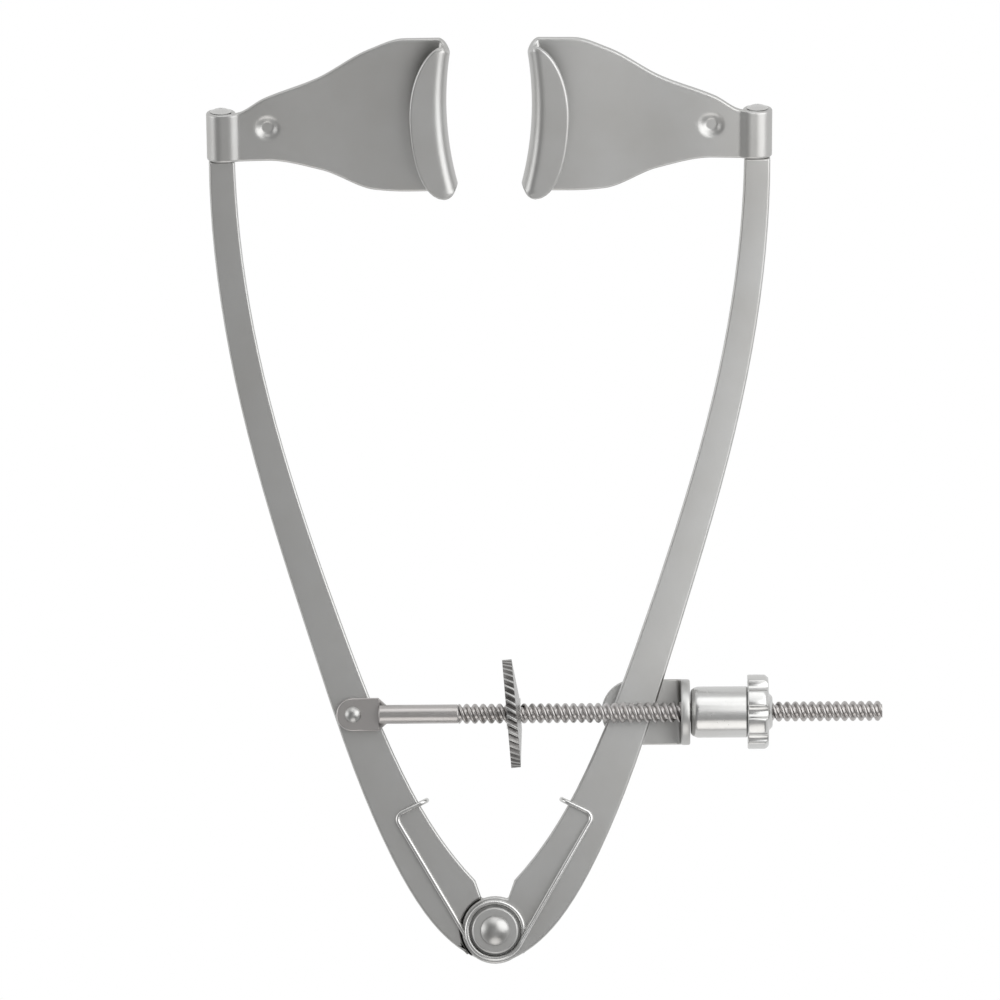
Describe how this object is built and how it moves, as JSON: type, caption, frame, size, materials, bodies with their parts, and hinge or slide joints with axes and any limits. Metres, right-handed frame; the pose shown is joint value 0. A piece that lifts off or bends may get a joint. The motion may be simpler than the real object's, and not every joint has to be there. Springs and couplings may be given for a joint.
{
  "type": "eye speculum",
  "caption": "Lid speculum: two bowed arms on a sprung pivot, folded swivelling lid blades at their tips, and a cross screw with nut and lock wheel that sets the spread.",
  "frame": {"origin": "on the pivot axis at the flat underside of the pivot, where the screw's tail is flush with its washer", "axes": "+Z is the pivot axis, up out of the side that the lid hooks face; +Y runs from the pivot between the arms to the blades; +X is to the right, the way the adjusting rod points"},
  "size_m": [0.067, 0.0923, 0.0173],
  "materials": {
    "satin_steel": "fine satin, bead blasted",
    "bright_steel": "polished",
    "spring_wire": "bright drawn wire"
  },
  "bodies": {
    "left_arm": {"left_arm": "satin_steel", "left_swivel_pin": "bright_steel", "pivot_screw": "bright_steel", "pivot_base_washer": "satin_steel", "spring_bush": "bright_steel", "pivot_cap_washer": "satin_steel", "torsion_spring": "spring_wire", "rod_rivet": "bright_steel"},
    "right_arm": {"right_arm": "satin_steel", "right_swivel_pin": "bright_steel", "bracket_rivet": "bright_steel"},
    "left_blade": {"left_blade": "satin_steel"},
    "right_blade": {"right_blade": "satin_steel"},
    "rod": {"adjusting_rod": "bright_steel"},
    "bracket": {"swivel_bracket": "satin_steel"},
    "wheel_bush": {"wheel_bush": "bright_steel"},
    "lock_wheel": {"lock_wheel": "satin_steel"},
    "sleeve": {"thrust_sleeve": "bright_steel"},
    "nut": {"toothed_nut": "bright_steel"}
  },
  "joints": [
    {"name": "arm_pivot", "type": "hinge", "parent": "left_arm", "child": "right_arm", "pos_m": [0, 0, 0], "axis": [0, 0, -1], "range_deg": [-3.5, 25], "deforming": ["torsion_spring"]},
    {"name": "rod_swing", "type": "hinge", "parent": "left_arm", "child": "rod", "pos_m": [-0.01405, 0.02164, 0.003], "axis": [0, 0, -1], "range_deg": [-2, 13]},
    {"name": "bracket_swing", "type": "hinge", "parent": "right_arm", "child": "bracket", "pos_m": [0.01405, 0.02164, 0.001], "axis": [0, 0, -1], "range_deg": [-13, 2]},
    {"name": "sleeve_travel", "type": "slide", "parent": "rod", "child": "sleeve", "axis": [1, 0, 0], "range_m": [-0.0014, 0.0096]},
    {"name": "nut_turn", "type": "hinge", "parent": "sleeve", "child": "nut", "pos_m": [0.0264, 0.02164, 0.004], "axis": [1, 0, 0], "range_deg": [-300, 2090]},
    {"name": "wheel_travel", "type": "slide", "parent": "rod", "child": "wheel_bush", "axis": [1, 0, 0], "range_m": [-0.0041, 0.0041]},
    {"name": "lock_wheel_turn", "type": "hinge", "parent": "wheel_bush", "child": "lock_wheel", "pos_m": [0.0018, 0.02164, 0.004], "axis": [1, 0, 0], "range_deg": [-905, 905]},
    {"name": "left_blade_swivel", "type": "hinge", "parent": "left_arm", "child": "left_blade", "pos_m": [-0.02668, 0.07942, 0.00944], "axis": [0.0104, -0.9566, -0.2911], "range_deg": [-60, 60]},
    {"name": "right_blade_swivel", "type": "hinge", "parent": "right_arm", "child": "right_blade", "pos_m": [0.02668, 0.07942, 0.00944], "axis": [0.0104, 0.9566, 0.2911], "range_deg": [-60, 60]}
  ],
  "couplings": [
    {"joint": "rod_swing", "follows": "arm_pivot", "ratio": 0.5},
    {"joint": "bracket_swing", "follows": "arm_pivot", "ratio": -0.5},
    {"joint": "sleeve_travel", "follows": "arm_pivot", "m_per_rad": 0.02164},
    {"joint": "nut_turn", "follows": "arm_pivot", "ratio": 82.9},
    {"joint": "lock_wheel_turn", "follows": "wheel_travel", "rad_per_m": 3831.2}
  ]
}
